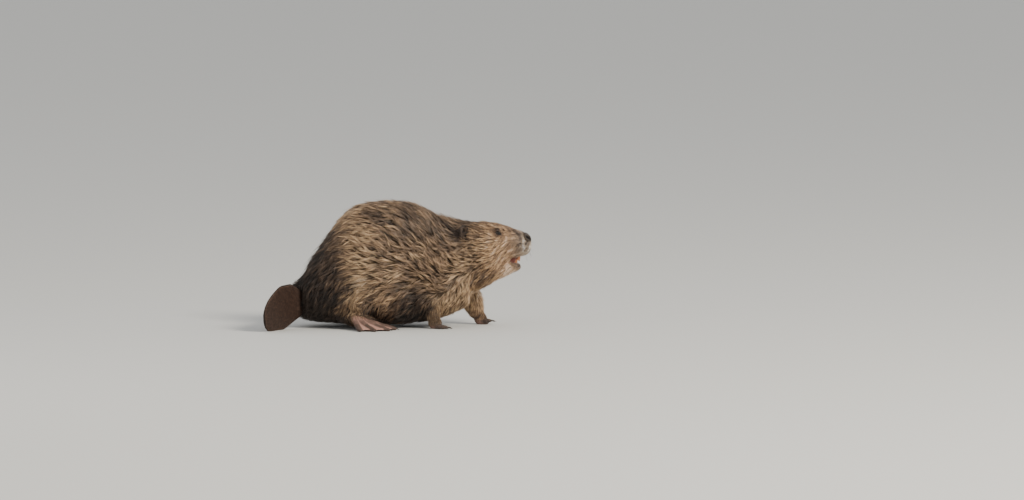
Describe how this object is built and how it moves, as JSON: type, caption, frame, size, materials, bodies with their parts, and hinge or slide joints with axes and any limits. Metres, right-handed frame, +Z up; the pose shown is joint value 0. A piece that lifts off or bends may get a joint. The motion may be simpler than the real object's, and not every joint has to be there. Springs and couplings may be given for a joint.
{
  "type": "beaver",
  "caption": "Life-size adult beaver standing hunched on all fours, one forefoot a step ahead, with a flat scaly tail set on edge behind it.",
  "frame": {"origin": "on the floor, at the centre of the animal's bounding box seen from above", "axes": "+X towards the animal's nose, +Y to its left, +Z up from the floor"},
  "size_m": [0.692, 0.4036, 0.3303],
  "materials": {
    "coat": "wet-looking brown fur in pointed locks, dark at the roots and golden at the tips",
    "skin": "thinly haired pinkish-brown skin, webbed on the hind feet",
    "nose": "dark pebbled nose pad",
    "tail": "dark brown scales, dull",
    "claw": "dark horn",
    "eye": "wet, nearly black",
    "tooth": "orange enamel, smooth"
  },
  "bodies": {
    "root": {"trunk": "coat", "neck": "coat", "head": "coat", "lower_jaw": "coat", "tail_root": "coat", "ear_left": "coat", "ear_right": "coat", "foreleg_left": "coat", "foreleg_right": "coat", "hindleg_left": "coat", "hindleg_right": "coat", "nose": "nose", "tail_blade": "tail", "eye_left": "eye", "eye_right": "eye", "incisors_upper": "tooth", "incisors_lower": "tooth", "forefoot_left": "skin", "forefoot_right": "skin", "hindfoot_left": "skin", "hindfoot_right": "skin", "forefoot_left_claw_1": "claw", "forefoot_left_claw_2": "claw", "forefoot_left_claw_3": "claw", "forefoot_left_claw_4": "claw", "forefoot_left_claw_5": "claw", "forefoot_right_claw_1": "claw", "forefoot_right_claw_2": "claw", "forefoot_right_claw_3": "claw", "forefoot_right_claw_4": "claw", "forefoot_right_claw_5": "claw", "hindfoot_left_claw_1": "claw", "hindfoot_left_claw_2": "claw", "hindfoot_left_claw_3": "claw", "hindfoot_left_claw_4": "claw", "hindfoot_left_claw_5": "claw", "hindfoot_right_claw_1": "claw", "hindfoot_right_claw_2": "claw", "hindfoot_right_claw_3": "claw", "hindfoot_right_claw_4": "claw", "hindfoot_right_claw_5": "claw"}
  },
  "joints": []
}
